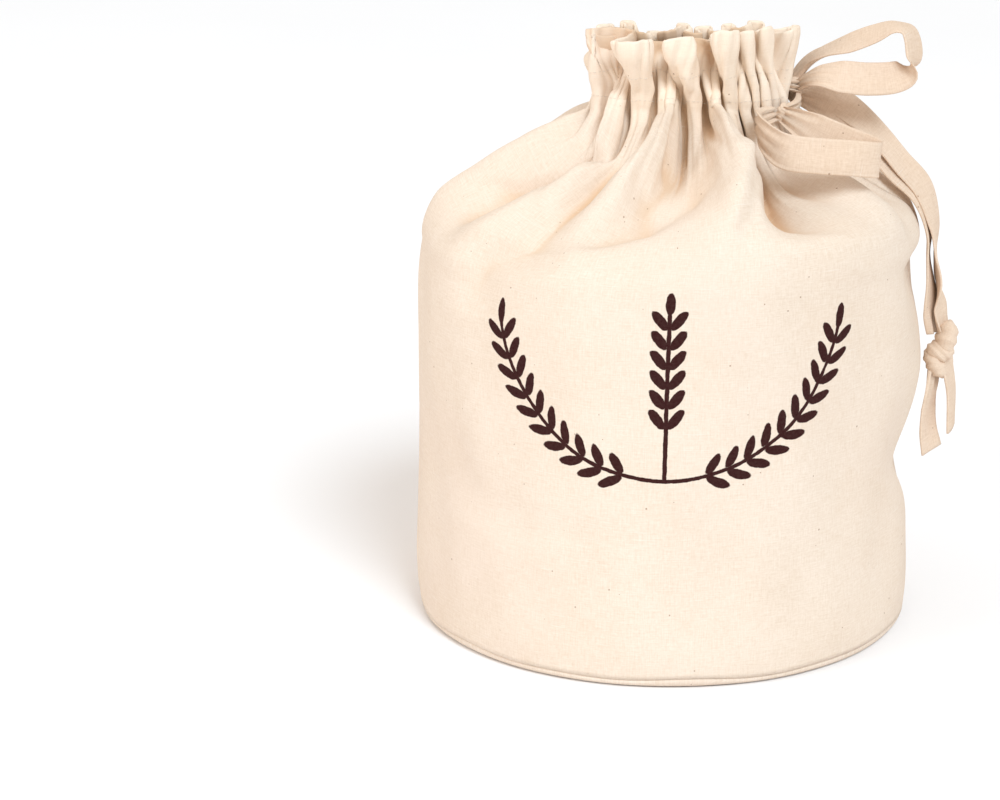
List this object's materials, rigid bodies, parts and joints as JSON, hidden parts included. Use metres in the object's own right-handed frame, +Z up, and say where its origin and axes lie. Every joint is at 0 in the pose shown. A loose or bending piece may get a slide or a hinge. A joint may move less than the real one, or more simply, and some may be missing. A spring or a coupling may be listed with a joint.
{
  "type": "drawstring bread bag",
  "caption": "Round-based soft cotton bag, standing full, its ruffled mouth gathered shut by a flat tape drawstring tied in a bow with long tails.",
  "frame": {"origin": "middle of the base, on the surface the bag stands on", "axes": "+Z up, -Y out of the decorated front, +X towards the side seam that the drawstring comes out of"},
  "size_m": [0.3032, 0.2824, 0.333],
  "materials": {
    "canvas": "unbleached cotton canvas, plain weave with slubs and specks",
    "tape": "folded and edge-stitched cotton canvas tape"
  },
  "bodies": {
    "root": {"panel_front": "canvas", "panel_back": "canvas", "base": "canvas", "drawstring": "tape"}
  },
  "joints": []
}
